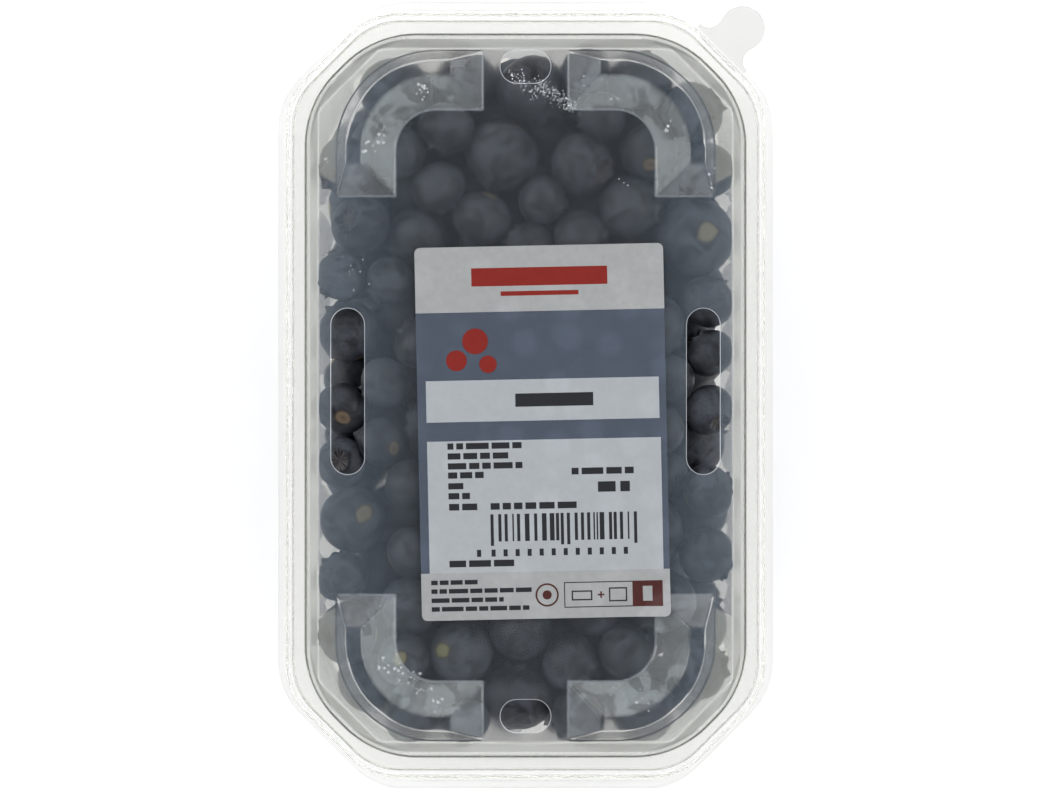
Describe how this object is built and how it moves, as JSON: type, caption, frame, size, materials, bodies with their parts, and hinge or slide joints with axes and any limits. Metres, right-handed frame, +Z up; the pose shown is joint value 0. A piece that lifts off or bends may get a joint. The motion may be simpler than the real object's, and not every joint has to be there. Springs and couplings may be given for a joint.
{
  "type": "punnet of blueberries",
  "caption": "Clear rectangular food tray with cut corners, full of round berries under a vented press-on lid with corner stacking lugs, a lift tab and a film label.",
  "frame": {"origin": "middle of the footprint, on the ground under the tray", "axes": "+X across the width, +Y along the length towards the end with the lift tab, +Z up through the lid"},
  "size_m": [0.1194, 0.19, 0.061],
  "materials": {
    "tray_plastic": "clear thermoformed sheet, glossy",
    "lid_plastic": "clear thermoformed sheet, glossy, lightly misted",
    "label_film": "printed film, satin",
    "berry_skin": "dark blue fruit skin with a pale dusty bloom"
  },
  "bodies": {
    "root": {"tray": "tray_plastic", "lid": "lid_plastic", "label": "label_film", "berries": "berry_skin"}
  },
  "joints": []
}
